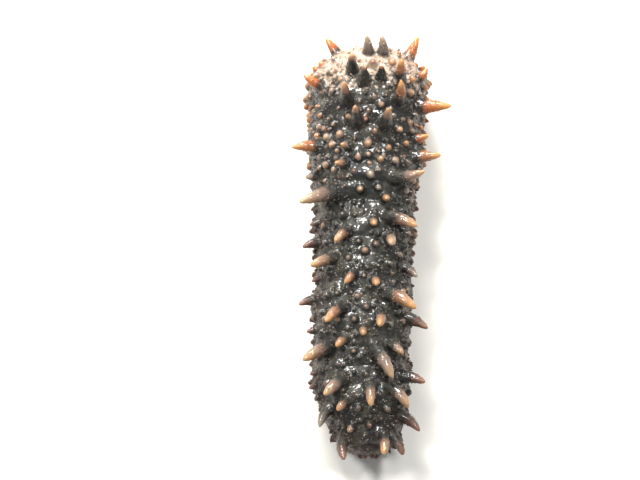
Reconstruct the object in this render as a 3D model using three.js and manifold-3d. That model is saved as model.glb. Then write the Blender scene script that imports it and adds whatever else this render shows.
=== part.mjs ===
// A spiny sea cucumber, boiled and drawn up short, lying on its flat sole with its back up.
// The mouth end points along +Y, the anal end along -Y, and +X is to the right seen from above.
// The body is one blunt tube under soft cones called papillae, small warts between them, and three
// bands of stubby tube feet below, whose flat ends all stand on the plane z = 0.
// It is parted by thin cuts into a mouth end, three lengths of trunk, an anal end and the sole.
// All sizes are in millimetres. Stations are places along the body, and angles go round it in
// degrees: 0 is the right flank, 90 the back, 180 the left flank and 270 the sole.
import * as THREE from 'three';
import { mergeVertices } from 'three/addons/utils/BufferGeometryUtils.js';
import Module from 'manifold-3d';

const wasm = await Module();
wasm.setup();

// The body's outline
const frontTip = 54;
const rearTip = -56.6;
const frontCap = 10;
const rearCap = 34;
const frontCapPower = 2.4;
const rearCapPower = 2.6;
const rearHalfWidth = 12.8;
const frontHalfWidth = 16;
const widenFrom = 0;
const widenTo = 40;
const heightPerHalfWidth = 1.72;
const lowerShare = 0.46;
const backPower = 2.15;
const solePower = 4.5;
const axisOffset = -1.7;
const axisSlope = 0.03;
const rearSwing = 2.8;
const rearSwingFrom = -34;
const rearSwingTo = -60;
const faceTilt = 0.22;
const bodySides = 26;
const frontCapRings = 5;
const rearCapRings = 8;
const tipShare = 0.4;
const ringStep = 4.1;

// Low swellings of the back and flanks: height, waves for each millimetre along, waves round
const swellings = [
  { height: 0.35, along: 0.31, round: (angle) => 2 * Math.sin(angle) },
  { height: 0.28, along: 0.53, round: (angle) => 3 * angle + 1 },
];
const swellingFrom = -0.7;

// Cuts between the nodes
const gap = 0.3;
const cuts = [34.3, 9.7, -12, -33.4];
const soleTop = 4.4;

// Tube feet
const footLength = 0.6;
const footRadius = 1;
const footTaper = 0.8;
const footSides = 5;
const footSink = 0.8;
const footStep = 7.2;
const footBands = [-6.6, 0, 6.6];
const footBandHalf = 1.3;
const footEnd = 45;
const footScatter = 0.12;
const highestFootRoot = 1.5;

// Papillae: radius from length, how deep they are rooted and how they taper
const radiusAtZero = 0.95;
const radiusPerLength = 0.13;
const rootDepth = 1.1;
const riseShare = 0.36;
const longPapilla = 5;
const longTaper = [[0, 1.2], [0.3, 0.9], [0.62, 0.64], [0.93, 0.34]];
const shortTaper = [[0, 1.2], [0.75, 0.6]];
const longSides = 6;
const shortSides = 5;
const swingJitter = 5;
const leanJitter = 5;

// Rows of papillae along the back and flanks: each has the angle where it grows, the angle that its
// papillae swing out to, and its papillae as [station, length, turn off the row's angle, more lean].
const rows = [
  { angle: 160, swing: 158, papillae: [[19, 3.2], [6.2, 2.8, 0, -8], [0.8, 5.2, 0, -8], [-8.8, 3],
    [-14.9, 4.8, 7, -14], [-23.5, 3.2, 0, -28], [-34.9, 2, 0, -24], [-38.3, 2.4, 0, -18]] },
  { angle: 140, swing: 158, papillae: [[51.5, 5.8, -3, -4], [43, 6, 2], [26.5, 8.2, 9, 9],
    [-44.5, 6, 6, 15]] },
  { angle: 128, swing: 150, papillae: [[13.2, 12, -3, 5], [-4.5, 8, 0, -8], [-28.3, 9.5, 4, -10]] },
  { angle: 105, swing: 97, papillae: [[49.8, 5.6, -14], [49.8, 5.8, -29], [45.5, 6], [37.6, 7, 4],
    [31.2, 8, -6], [-20.3, 7, -34]] },
  { angle: 109, swing: 138, papillae: [[25, 3.5, -2], [20.5, 4, 3], [2.3, 6, 0, 10],
    [-9.3, 4.5, -8, 12], [-18.5, 8, 3], [-26.5, 4.5], [-37.2, 8.5, 3, -5], [-43, 4.5, 2, -4],
    [-49.3, 2.5, 3]] },
  { angle: 86, swing: 88, papillae: [[42.5, 6, 8], [43.5, 5, -6], [13.6, 3.5, 10], [5, 4.5, -4],
    [-24, 4, 4], [-39.3, 7, -4, 14]] },
  { angle: 62, swing: 86, papillae: [[44, 7], [38, 7.5], [30.8, 8, 12], [11.6, 4, 6], [0.8, 7],
    [-10.5, 5, 16]] },
  { angle: 60, swing: 33, papillae: [[17, 9, -2, -14], [6.5, 9.5, 2], [-14.8, 10, 2, -6],
    [-28, 5, -4], [-29.8, 9.5, 15, 18], [-39.5, 8, -3]] },
  { angle: 32, swing: 26, papillae: [[51.2, 7.2, -4, -16], [45, 4, 2, -20], [37.8, 9.5, -4, 32],
    [28.5, 4.5], [23.5, 7.8], [-6.2, 5.5, 2, 8], [-20.3, 7, -9, -8], [-36.2, 7, 0, -24], [-42, 4, 6],
    [-46.3, 7.2, -6, -8], [-51.8, 6, 6, 8]] },
  { angle: 90, swing: 92, papillae: [[-52.4, 7.5, 52], [-52, 6.5, -28]] },
];

// How far the papillae lean, in degrees: forward at the mouth end, backward from the shoulder on
const leanPlaces = [
  [-56, 56], [-40, 42], [-12, 33], [4, 27], [16, 12], [26, 0], [32, -22], [45, -30], [54, -52],
];

// Even rows low on each flank, and the crowns round both ends
const lowRow = { angles: [-3, 183], from: 36.9, to: -45, step: 6.2, lengths: [1.1, 2] };
const frontCrown = { angles: [8, 172, 192, 348], from: 49.5, to: 49, step: 1, lengths: [2, 2.8] };
const rearCrown = { angles: [188, 350], from: -51.5, to: -52, step: 1, lengths: [1.6, 2.2] };

// Warts between the papillae
const wartAngles = [12, 31, 50, 69, 88, 107, 126, 145, 164];
const wartFrom = 48;
const wartStep = 7.4;
const wartHeights = [1.1, 1.9];
const wartRadii = [0.95, 1.35];
const wartTaper = [[0, 1.1], [0.8, 0.6]];
const wartSides = 5;
const wartRootDepth = 0.8;
const wartClearance = 0.5;
const wartScatter = 1.2;
const wartTurnScatter = 2;
const oddRowTurn = 9.5;

// Mouth and anus: puckered rings, each let into its end with the gap all round
const mouth = { facing: 1, station: 52.7, height: 9.8, pitch: -18, radius: 4, depth: 2, folds: 9 };
const anus = { facing: -1, station: -56.3, height: 10.3, pitch: 0, radius: 2.8, depth: 1.9, folds: 7 };
const lipRise = 0.7;
const lipShare = 0.62;
const throatShare = 0.3;
const dimpleDepth = 0.9;
const foldShare = 0.07;
const sidesPerFold = 3;
const socketLength = 10;

const rightAngle = 90;
const degrees = Math.PI / 180;
const beyond = 100;
const shortestEdge = 0.012;

// Draws that are the same on every run
let drawState = 2024;
function draw(low, high) {
  drawState = (1664525 * drawState + 1013904223) % 4294967296;
  return low + ((high - low) * drawState) / 4294967296;
}

function smoothStep(from, to, value) {
  const t = Math.min(1, Math.max(0, (value - from) / (to - from)));
  return t * t * (3 - 2 * t);
}

function readPlaces(places, at) {
  let value = places[0][1];
  for (let i = 1; i < places.length; i++) {
    const [from, low] = places[i - 1];
    const [to, high] = places[i];
    if (at >= from) value = low + ((high - low) * Math.min(to - from, at - from)) / (to - from);
  }
  return value;
}

// The body's shape
const halfWidth = (station) => rearHalfWidth
  + (frontHalfWidth - rearHalfWidth) * smoothStep(widenFrom, widenTo, station);
const bodyHeight = (station) => heightPerHalfWidth * halfWidth(station);
const axisX = (station) => axisOffset + axisSlope * station
  + rearSwing * smoothStep(rearSwingFrom, rearSwingTo, station);
const axisZ = (station) => footLength + lowerShare * bodyHeight(station);
const intoFront = (station) => Math.max(0, (station - frontTip + frontCap) / frontCap);
const intoRear = (station) => Math.max(0, (rearTip + rearCap - station) / rearCap);

function capScale(station) {
  const front = Math.max(0, 1 - intoFront(station) ** frontCapPower) ** (1 / frontCapPower);
  const rear = Math.max(0, 1 - intoRear(station) ** rearCapPower) ** (1 / rearCapPower);
  return front * rear;
}

function swelling(station, angle) {
  let height = 0;
  for (const wave of swellings) height += wave.height * Math.sin(wave.along * station + wave.round(angle));
  return height * smoothStep(swellingFrom, 0, Math.sin(angle));
}

function skinPoint(station, angleInDegrees) {
  const angle = angleInDegrees * degrees;
  const across = Math.cos(angle);
  const up = Math.sin(angle);
  const power = 2 / (up > 0 ? backPower : solePower);
  const reach = (up > 0 ? 1 - lowerShare : lowerShare) * bodyHeight(station);
  const scale = capScale(station) * (1 + swelling(station, angle) / halfWidth(station));
  const x = halfWidth(station) * Math.sign(across) * Math.abs(across) ** power * scale;
  const z = reach * Math.sign(up) * Math.abs(up) ** power * scale;
  const forward = faceTilt * z * intoFront(station);
  return new THREE.Vector3(axisX(station) + x, station + forward, axisZ(station) + z);
}

function skinNormal(station, angle) {
  const along = skinPoint(station + 0.05, angle).sub(skinPoint(station - 0.05, angle));
  const round = skinPoint(station, angle + 0.5).sub(skinPoint(station, angle - 0.5));
  return along.cross(round).normalize();
}

// A closed solid from a three.js geometry
function solidFromGeometry(geometry) {
  const bare = geometry.clone();
  bare.deleteAttribute('normal');
  bare.deleteAttribute('uv');
  const merged = mergeVertices(bare, 1e-4);
  return new wasm.Manifold(new wasm.Mesh({
    numProp: 3,
    vertProperties: new Float32Array(merged.attributes.position.array),
    triVerts: new Uint32Array(merged.index.array),
    tolerance: shortestEdge,
  }));
}

// A closed solid from rings of points, which turn anticlockwise seen from the last one, and a point
// that closes each end
function solidFromRings(rings, startPoint, endPoint) {
  const count = rings[0].length;
  const points = [...rings.flat(), startPoint, endPoint];
  const triangles = [];
  for (let side = 0; side < count; side++) {
    const next = (side + 1) % count;
    const last = (rings.length - 1) * count;
    triangles.push(points.length - 2, next, side, last + side, last + next, points.length - 1);
    for (let low = 0; low < last; low += count) {
      triangles.push(low + side, low + next, low + next + count);
      triangles.push(low + side, low + next + count, low + side + count);
    }
  }
  const geometry = new THREE.BufferGeometry().setFromPoints(points);
  geometry.setIndex(triangles);
  return solidFromGeometry(geometry);
}

function boxBetween(low, high) {
  const size = new THREE.Vector3().subVectors(high, low);
  const middle = new THREE.Vector3().addVectors(low, high).divideScalar(2);
  const box = new THREE.BoxGeometry(size.x, size.y, size.z);
  return solidFromGeometry(box.translate(middle.x, middle.y, middle.z));
}

function slab(lowStation, highStation, bottom, top) {
  return boxBetween(
    new THREE.Vector3(-beyond, lowStation, bottom),
    new THREE.Vector3(beyond, highStation, top),
  );
}

// The whole body, with its rings closer together on the rounded ends
function bodySolid() {
  const stations = [];
  const capTurn = (ring, rings) => Math.sin((rightAngle * degrees * ring) / (rings + tipShare));
  for (let ring = rearCapRings; ring > 0; ring--) {
    stations.push(rearTip + rearCap * (1 - capTurn(ring, rearCapRings)));
  }
  const tubeStart = rearTip + rearCap;
  const tubeLength = frontTip - frontCap - tubeStart;
  const tubeRings = Math.round(tubeLength / ringStep);
  for (let ring = 0; ring <= tubeRings; ring++) stations.push(tubeStart + (tubeLength * ring) / tubeRings);
  for (let ring = 1; ring <= frontCapRings; ring++) {
    stations.push(frontTip - frontCap * (1 - capTurn(ring, frontCapRings)));
  }
  const rings = stations.map((station) => {
    const turn = 360 / bodySides;
    return Array.from({ length: bodySides }, (_, side) => skinPoint(station, -turn * side));
  });
  return solidFromRings(rings, skinPoint(rearTip, 0), skinPoint(frontTip, 0));
}

// A tapered growth on the skin: its rings follow a curve that leaves the skin square on and bends
// over to the tip, and its taper lists [share of the way, share of the radius]
function growth({ station, angle, length, radius, depth, taper, sides, tip }) {
  const foot = skinPoint(station, angle);
  const normal = skinNormal(station, angle);
  const root = foot.clone().addScaledVector(normal, -depth);
  const knee = foot.clone().addScaledVector(normal, length * riseShare);
  const curve = new THREE.QuadraticBezierCurve3(root, knee, foot.clone().addScaledVector(tip, length));
  const turned = new THREE.Quaternion();
  const up = new THREE.Vector3(0, 0, 1);
  const firstTurn = draw(0, 360 / sides);
  const rings = taper.map(([share, width]) => {
    turned.setFromUnitVectors(up, curve.getTangent(share));
    return Array.from({ length: sides }, (_, side) => {
      const turn = (firstTurn + (360 / sides) * side) * degrees;
      const spoke = new THREE.Vector3(Math.cos(turn), Math.sin(turn), 0);
      return spoke.multiplyScalar(radius * width).applyQuaternion(turned).add(curve.getPoint(share));
    });
  });
  return solidFromRings(rings, root, curve.getPoint(1));
}

const papillae = [];
function placePapilla(station, angle, length, swing, moreLean) {
  const lean = (readPlaces(leanPlaces, station) + moreLean) * degrees;
  const outward = swing * degrees;
  const tip = new THREE.Vector3(
    Math.cos(lean) * Math.cos(outward),
    -Math.sin(lean),
    Math.cos(lean) * Math.sin(outward),
  );
  const radius = radiusAtZero + radiusPerLength * length;
  papillae.push({ station, angle, length, radius, tip, foot: skinPoint(station, angle) });
}

for (const row of rows) {
  for (const [station, length, turn = 0, moreLean = 0] of row.papillae) {
    placePapilla(station, row.angle + turn, length, row.swing, moreLean);
  }
}
for (const row of [lowRow, frontCrown, rearCrown]) {
  for (const angle of row.angles) {
    for (let station = row.from; station > row.to; station -= row.step) {
      const clear = Math.min(...cuts.map((cut) => Math.abs(cut - station)));
      const length = draw(...row.lengths);
      if (clear > radiusAtZero + radiusPerLength * length + gap) {
        const swing = angle + draw(-swingJitter, swingJitter);
        placePapilla(station, angle, length, swing, draw(-leanJitter, leanJitter));
      }
    }
  }
}

const warts = [];
let odd = false;
for (let station = wartFrom; station > rearTip + wartStep; station -= wartStep / 2) {
  for (const angle of wartAngles) {
    const wart = {
      station: station + draw(-wartScatter, wartScatter),
      angle: angle + (odd ? oddRowTurn : 0) + draw(-wartTurnScatter, wartTurnScatter),
      length: draw(...wartHeights),
      radius: draw(...wartRadii),
    };
    wart.foot = skinPoint(wart.station, wart.angle);
    wart.tip = skinNormal(wart.station, wart.angle);
    const clearOfCuts = cuts.every((cut) => Math.abs(cut - wart.station) > wart.radius + 2 * gap);
    const clearOfGrowths = [...papillae, ...warts].every(
      (other) => other.foot.distanceTo(wart.foot) > other.radius + wart.radius + wartClearance,
    );
    if (clearOfCuts && clearOfGrowths) warts.push(wart);
  }
  odd = !odd;
}

function papillaSolid(papilla) {
  const long = papilla.length >= longPapilla;
  return growth({
    ...papilla,
    depth: rootDepth,
    taper: long ? longTaper : shortTaper,
    sides: long ? longSides : shortSides,
  });
}

function wartSolid(wart) {
  return growth({ ...wart, depth: wartRootDepth, taper: wartTaper, sides: wartSides });
}

// Tube feet: short tapered stumps from the floor up into the sole, two staggered lines a band
function footSolids() {
  const feet = [];
  for (const band of footBands) {
    for (const side of [-1, 1]) {
      const shift = side > 0 ? footStep / 2 : 0;
      for (let station = footEnd - shift; station > -footEnd; station -= footStep) {
        const x = band + side * footBandHalf;
        const across = Math.abs(x) / (halfWidth(station) * capScale(station));
        const drop = Math.max(0, 1 - across ** solePower) ** (1 / solePower);
        const skin = axisZ(station) - lowerShare * bodyHeight(station) * capScale(station) * drop;
        const radius = footRadius * draw(1 - footScatter, 1 + footScatter);
        if (across > 1 || skin > highestFootRoot) continue;
        const height = skin + footSink;
        const foot = new THREE.CylinderGeometry(radius, radius * footTaper, height, footSides);
        foot.rotateX(rightAngle * degrees).rotateZ(draw(0, 360 / footSides) * degrees);
        feet.push(solidFromGeometry(foot.translate(axisX(station) + x, station, height / 2)));
      }
    }
  }
  return feet;
}

// Rings of points round an axis that points out of the body's end, as [out, radius, fold] and closed
// by a point on the axis at each end
function ringsOnEnd({ facing, station, height, pitch, folds }, steps, lowEnd, highEnd) {
  const place = new THREE.Matrix4().makeTranslation(axisX(station), station, height);
  place.multiply(new THREE.Matrix4().makeRotationX((-facing * rightAngle + pitch) * degrees));
  const sides = sidesPerFold * folds;
  const rings = steps.map(([out, ringRadius, fold]) => Array.from({ length: sides }, (_, side) => {
    const turn = (2 * Math.PI * side) / sides;
    const reach = ringRadius * (1 + fold * Math.cos(folds * turn));
    return new THREE.Vector3(reach * Math.cos(turn), reach * Math.sin(turn), out).applyMatrix4(place);
  }));
  const low = new THREE.Vector3(0, 0, lowEnd).applyMatrix4(place);
  return solidFromRings(rings, low, new THREE.Vector3(0, 0, highEnd).applyMatrix4(place));
}

function puckerSolid(pucker) {
  const { radius, depth } = pucker;
  const steps = [
    [-depth, radius, 0],
    [0, radius, 0],
    [lipRise, radius * lipShare, foldShare],
    [0, radius * throatShare, foldShare],
  ];
  return ringsOnEnd(pucker, steps, -depth, -dimpleDepth);
}

// The room that a pucker is let into, with the gap all round
function socketSolid(pucker) {
  const low = -pucker.depth - gap;
  const steps = [[low, pucker.radius + gap, 0], [socketLength, pucker.radius + gap, 0]];
  return ringsOnEnd(pucker, steps, low, socketLength);
}

// The nodes: the body parted, each piece with what grows on it
function keepLargest(solid) {
  return solid.decompose().reduce((best, piece) => (piece.volume() > best.volume() ? piece : best));
}

function withGrowths(core, solids) {
  return keepLargest(solids.reduce((whole, solid) => whole.add(solid), core));
}

function material(color, roughness) {
  return new THREE.MeshStandardMaterial({ color, roughness, metalness: 0 });
}

const model = new THREE.Group();
function addMesh(name, solid, finish) {
  const { vertProperties, triVerts } = solid.getMesh();
  const geometry = new THREE.BufferGeometry();
  geometry.setAttribute('position', new THREE.BufferAttribute(vertProperties, 3));
  geometry.setIndex(new THREE.BufferAttribute(triVerts, 1));
  geometry.computeVertexNormals();
  const mesh = new THREE.Mesh(geometry, finish);
  mesh.name = name;
  model.add(mesh);
}

const darkSkin = material(0x2c2219, 0.35);
const paleSkin = material(0x6b4a34, 0.4);
const soleSkin = material(0x8a7358, 0.55);
const lipSkin = material(0x9a5f3e, 0.45);

const body = bodySolid().subtract(socketSolid(mouth)).subtract(socketSolid(anus));
const segments = [
  ['oral_end', cuts[0], beyond, paleSkin],
  ['trunk_front', cuts[1], cuts[0], darkSkin],
  ['trunk_middle', cuts[2], cuts[1], darkSkin],
  ['trunk_rear', cuts[3], cuts[2], darkSkin],
  ['anal_end', -beyond, cuts[3], darkSkin],
];
for (const [name, from, to, finish] of segments) {
  const core = body.intersect(slab(from + gap / 2, to - gap / 2, soleTop + gap, beyond));
  const here = ({ station }) => station > from && station < to;
  const solids = [...papillae.filter(here).map(papillaSolid), ...warts.filter(here).map(wartSolid)];
  addMesh(name, withGrowths(core, solids), finish);
}
const underside = body.intersect(slab(-beyond, beyond, -beyond, soleTop));
addMesh('sole', withGrowths(underside, footSolids()), soleSkin);
addMesh('mouth', puckerSolid(mouth), lipSkin);
addMesh('anus', puckerSolid(anus), lipSkin);

// The origin lies under the middle of the whole, on the plane that the tube feet stand on
const whole = new THREE.Box3().setFromObject(model);
model.position.set(-(whole.min.x + whole.max.x) / 2, -(whole.min.y + whole.max.y) / 2, 0);

export default model;
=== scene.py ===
import math

import bpy
import numpy as np
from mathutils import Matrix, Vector, kdtree, noise


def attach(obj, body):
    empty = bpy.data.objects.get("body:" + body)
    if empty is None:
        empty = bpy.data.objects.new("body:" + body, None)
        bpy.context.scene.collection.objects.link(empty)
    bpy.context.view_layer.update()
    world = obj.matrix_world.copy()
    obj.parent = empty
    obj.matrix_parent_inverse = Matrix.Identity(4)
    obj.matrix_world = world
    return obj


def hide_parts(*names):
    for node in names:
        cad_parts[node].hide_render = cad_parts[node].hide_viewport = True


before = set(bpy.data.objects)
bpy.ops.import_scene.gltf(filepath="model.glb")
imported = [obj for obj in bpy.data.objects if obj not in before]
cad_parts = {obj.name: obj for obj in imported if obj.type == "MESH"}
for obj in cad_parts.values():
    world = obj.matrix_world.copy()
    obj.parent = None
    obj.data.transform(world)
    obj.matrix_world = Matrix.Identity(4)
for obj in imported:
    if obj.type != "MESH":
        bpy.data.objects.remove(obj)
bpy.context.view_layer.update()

MM = 0.001
DEGREES = math.pi / 180
ORIGIN_SHIFT = np.array([-0.301, 0.0, 0.0])

# The body's outline
FRONT_TIP = 54
REAR_TIP = -56.6
FRONT_CAP = 10
REAR_CAP = 34
FRONT_CAP_POWER = 2.4
REAR_CAP_POWER = 2.6
REAR_HALF_WIDTH = 12.8
FRONT_HALF_WIDTH = 16
WIDEN_FROM = 0
WIDEN_TO = 40
HEIGHT_PER_HALF_WIDTH = 1.72
LOWER_SHARE = 0.46
BACK_POWER = 2.15
SOLE_POWER = 4.5
AXIS_OFFSET = -1.7
AXIS_SLOPE = 0.03
REAR_SWING = 2.8
REAR_SWING_FROM = -34
REAR_SWING_TO = -60
FACE_TILT = 0.22

# Slow swellings of the body: how far each goes out, how fast it comes and goes along the body, and
# the zone, by the sine of the angle, where they rise out of the flat sole
LONG_SWELL = 0.35
LONG_SWELL_PACE = 0.31
SHORT_SWELL = 0.28
SHORT_SWELL_PACE = 0.53
SWELL_ZONE = (-0.7, 0)

# Ridges that run across the back, and soft lumps between them
RIDGE_STEP = 5.0
RIDGE_HEIGHT = 0.75
RIDGE_SWAY = 0.7
RIDGE_LEVEL = 0.6
LUMP_HEIGHT = 0.55
LUMP_PACE = 0.23
SMALL_LUMP_PACE = 0.6
SMALL_LUMP_SHARE = 0.6
RELIEF_ZONE = (-0.8, -0.2)
OFF_TIPS_ZONE = (0, 0.5)
TIP_MARGIN = 0.02

# The cuts between the solids, which the papillae and the larger warts keep clear of
CUTS = (34.3, 9.7, -12, -33.4)
GAP = 0.3

# Tube feet
FOOT_PROFILE = ((0, 1), (0.35, 1.06), (0.5, 0.9), (0.65, 0.94), (1, 1.25))
FOOT_SIDES = 12
FOOT_LENGTH = 0.6
FOOT_RADIUS = 0.62
FOOT_SIZES = (0.8, 1.15)
FOOT_STEP = 2.4
FOOT_BANDS = (-6.6, 0, 6.6)
FOOT_ROWS = (-1.9, 0, 1.9)
FOOT_SCATTER_ALONG = 0.35
FOOT_SCATTER_ACROSS = 0.25
FOOT_END = 46
OUTERMOST_FOOT = 0.95
HIGHEST_FOOT_ROOT = 1.9
FOOT_ROOT_DEPTH = 0.5

# Profiles of the growths, which are the papillae and the warts: height and radius, ring by ring, as
# shares of each growth's own
PAPILLA_PROFILE = (
    (0, 1.5), (0.1, 1.3), (0.18, 1.1), (0.26, 1.05), (0.36, 0.91), (0.44, 0.88), (0.54, 0.75),
    (0.62, 0.72), (0.72, 0.59), (0.81, 0.52), (0.9, 0.38), (0.96, 0.25), (1.0, 0.1),
)
PAPILLA_SIDES = 16
WART_PROFILE = ((0, 1.4), (0.35, 1.1), (0.6, 0.92), (0.8, 0.7), (0.93, 0.44), (1.0, 0.16))
WART_SIDES = 10
ROOT_DEPTHS = {"papilla": 1.1, "wart": 0.7}

# Papillae: each row has the angle where it grows, the angle that its papillae swing out to, and its
# papillae as station, length, turn off the row's angle and more lean. The rest of their lean goes by
# station, as LEAN_PLACES gives it in degrees.
RADIUS_AT_ZERO = 0.95
RADIUS_PER_LENGTH = 0.13
RISE_SHARE = 0.36
SWING_JITTER = 5
LEAN_JITTER = 5
ROWS = (
    (160, 158, ((19, 3.2), (6.2, 2.8, 0, -8), (0.8, 5.2, 0, -8), (-8.8, 3), (-14.9, 4.8, 7, -14),
                (-23.5, 3.2, 0, -28), (-34.9, 2, 0, -24), (-38.3, 2.4, 0, -18))),
    (140, 158, ((51.5, 5.8, -3, -4), (43, 6, 2), (26.5, 8.2, 9, 9), (-44.5, 6, 6, 15))),
    (128, 150, ((13.2, 12, -3, 5), (-4.5, 8, 0, -8), (-28.3, 9.5, 4, -10))),
    (105, 97, ((49.8, 5.6, -14), (49.8, 5.8, -29), (45.5, 6), (37.6, 7, 4), (31.2, 8, -6),
               (-20.3, 7, -34))),
    (109, 138, ((25, 3.5, -2), (20.5, 4, 3), (2.3, 6, 0, 10), (-9.3, 4.5, -8, 12), (-18.5, 8, 3),
                (-26.5, 4.5), (-37.2, 8.5, 3, -5), (-43, 4.5, 2, -4), (-49.3, 2.5, 3))),
    (86, 88, ((42.5, 6, 8), (43.5, 5, -6), (13.6, 3.5, 10), (5, 4.5, -4), (-24, 4, 4),
              (-39.3, 7, -4, 14))),
    (62, 86, ((44, 7), (38, 7.5), (30.8, 8, 12), (11.6, 4, 6), (0.8, 7), (-10.5, 5, 16))),
    (60, 33, ((17, 9, -2, -14), (6.5, 9.5, 2), (-14.8, 10, 2, -6), (-28, 5, -4), (-29.8, 9.5, 15, 18),
              (-39.5, 8, -3))),
    (32, 26, ((51.2, 7.2, -4, -16), (45, 4, 2, -20), (37.8, 9.5, -4, 32), (28.5, 4.5), (23.5, 7.8),
              (-6.2, 5.5, 2, 8), (-20.3, 7, -9, -8), (-36.2, 7, 0, -24), (-42, 4, 6),
              (-46.3, 7.2, -6, -8), (-51.8, 6, 6, 8))),
    (90, 92, ((-52.4, 7.5, 52), (-52, 6.5, -28))),
)
LEAN_PLACES = (
    (-56, 56), (-40, 42), (-12, 33), (4, 27), (16, 12), (26, 0), (32, -22), (45, -30), (54, -52),
)
EVEN_ROWS = (
    {"angles": (-3, 183), "from": 36.9, "to": -45, "step": 6.2, "lengths": (1.1, 2)},
    {"angles": (8, 172, 192, 348), "from": 49.5, "to": 49, "step": 1, "lengths": (2, 2.8)},
    {"angles": (188, 350), "from": -51.5, "to": -52, "step": 1, "lengths": (1.6, 2.2)},
)

# Papillae on the back of the rear half end bluntly, with a fuller head and a slimmer root
BLUNT_ZONE = (22, -2)
BLUNT_FLANK_ZONE = (0.93, 0.7)
BLUNT_HEAD_ZONE = (0.4, 0.85)
BLUNT_HEAD = 0.35
BLUNT_ROOT = 0.12

# Warts
WART_ANGLES = (12, 31, 50, 69, 88, 107, 126, 145, 164)
WART_FROM = 48
WART_STEP = 7.4
WART_HEIGHTS = (1.1, 1.9)
WART_RADII = (0.95, 1.35)
WART_CLEARANCE = 0.5
WART_SCATTER = 1.2
WART_TURN = 2
WART_STAGGER = 9.5
SMALL_WART_TRIES = 3600
SMALL_WART_STATIONS = (REAR_TIP + 1.5, FRONT_TIP - 0.6)
SMALL_WART_ANGLES = (-34, 214)
SMALL_WART_HEIGHTS = (0.5, 1.4)
SMALL_WART_RADII = (0.36, 0.82)
SMALL_WART_CLEARANCE = 0.25
SMALL_WART_SWAY = 0.4
SMALL_WART_LEAN = 0.9
BIGGER_WART_ZONE = (6, 20)
BIGGER_WART_SHARE = 0.25
BIGGEST_WART_ZONE = (30, 46)
BIGGEST_WART_SHARE = 0.35
FULL_COAT_ZONE = (-50, -34)
VALLEY_CHANCE = 0.3

# Colours of the growths, as papilla_tone and wart_tone use them. Zones go by station, by how far
# round from the back to a flank where they name one of these, or by radius for big warts.
FRONT_ZONE = (10, 40)
AHEAD_ZONE = (4, 20)
LOW_ZONE = (24, 14)
LOW_FLANK_ZONE = (0.78, 0.86)
REAR_ZONE = (-48, -52)
REAR_FLANK_ZONE = (0.5, 0.75)
BROW_ZONE = (47, 49)
BROW_BACK_ZONE = (0.5, 0.3)
WARM_FLANK_ZONE = (0.3, 0.7)
WARMER_AHEAD_ZONE = (-52, -25)
BIG_WART_ZONE = (0.8, 0.95)
PAPILLA_WARMTHS = (0.48, 0.76)
PAPILLA_DARK_SHARES = (0.34, 0.5)
FRONT_WARMTH = 0.72
FRONT_FLANK_WARMTH = 0.33
FRONT_DARKENING = 0.52
FRONT_FLANK_LIGHTENING = 0.93
# Papillae low on the flanks and on the rear flanks are dulled: partly their own duskier colour,
# partly painted shade
DULLED_SHARE = 0.8
BROW_WARMTH = 0.44
BROW_DARK_SHARE = 0.12
WART_WARMTHS = (0.16, 0.6)
WART_DARK_SHARES = (0.52, 0.92)
BIG_WART_WARMTH = 0.1
FRONT_WART_WARMTH = 0.3
# Warts paler ahead and duller and darker towards the rear: partly their own colour, partly painted
# light on the brighter front and painted shade towards the rear
REAR_WART_WARMTH_SHARE = 0.4
AHEAD_WART_LIGHTENING = 0.22
FRONT_WART_LIGHTENING = 0.25
REAR_WART_PALENESS = 0.7
LEAST_DARK_SHARE = 0.1

# Mouth and anus, each a ring of folds round a pit. Their zones are shares of the pucker's radius.
PUCKERS = (
    {"facing": 1, "station": 53.3, "height": 9.8, "pitch": -18, "radius": 4.5, "folds": 13,
     "lip_share": 0.8},
    {"facing": -1, "station": -56.1, "height": 10, "pitch": 8, "radius": 3, "folds": 10,
     "lip_share": 0.3},
)
PUCKER_PROFILE = (
    (-3.4, 1.0), (-0.8, 1.08), (0.1, 1.02), (0.75, 0.86), (1.0, 0.68), (0.7, 0.48), (-0.4, 0.3),
    (-1.8, 0.2), (-2.6, 0.12),
)
SIDES_PER_FOLD = 8
FOLD_HEIGHT = 0.5
FOLD_SWELL = 0.07
FOLD_SWAY = 1.4
FOLD_TOP_ZONE = (-0.7, 0.2)
FOLD_ZONE = (0.1, 0.5)
HOLLOW_DEPTH = 3.2
HOLLOW_ZONE = (0.95, 0.55)
HOLLOW_BACK = -5
LIP_ZONE = (1.25, 0.9)
LIP_BACK = -6
PIT_ZONE = (0.5, 0.28)

# The fused skin
VOXEL = 0.27
MOST_SKIN_TRIANGLES = 192000
WRINKLE_GRAIN = 0.9
WRINKLE_HEIGHT = 0.3

# Pebbles: profile, sizes and where they lie. The shares are of the way up the nearest growth.
PEBBLE_PROFILE = ((-0.5, 1.15), (0.3, 0.92), (0.68, 0.48))
PEBBLE_SIDES = 6
PEBBLE_FLOOR = -0.45
PEBBLE_COUNT = 6800
PEBBLE_RADII = (0.18, 0.4)
PEBBLE_RARITY = 1.7
PEBBLE_WIDTHS = (0.85, 1.15)
PEBBLE_HEIGHTS = (0.7, 1.15)
PEBBLE_SPACING = 0.7
PEBBLE_WARMTHS = (0.3, 0.42)
PEBBLED_FROM = -42
REAR_PEBBLES_LOST = 0.3
LOWEST_PEBBLE = 0.9
PEBBLED_ROOT_SHARE = 0.25
PEBBLED_PAPILLA_SHARES = (0.2, 0.72)
PEBBLE_TOP_SHARE = 0.08
PAPILLA_PEBBLE_SIZE = 0.8
PEBBLE_FREE_REACH = 1.3
MID_HEIGHT = 12
DULL_PEBBLE_ZONE = (25, 45)
DULL_PEBBLE_SHARE = 0.6

# Draws that are the same on every run
draw_state = 2024


def draw(low, high):
    global draw_state
    draw_state = (1664525 * draw_state + 1013904223) % 4294967296
    return low + (high - low) * draw_state / 4294967296


def smooth_step(low, high, value):
    t = np.clip((value - low) / (high - low), 0, 1)
    return t * t * (3 - 2 * t)


def between(share, first, second):
    return first + (second - first) * share


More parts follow.
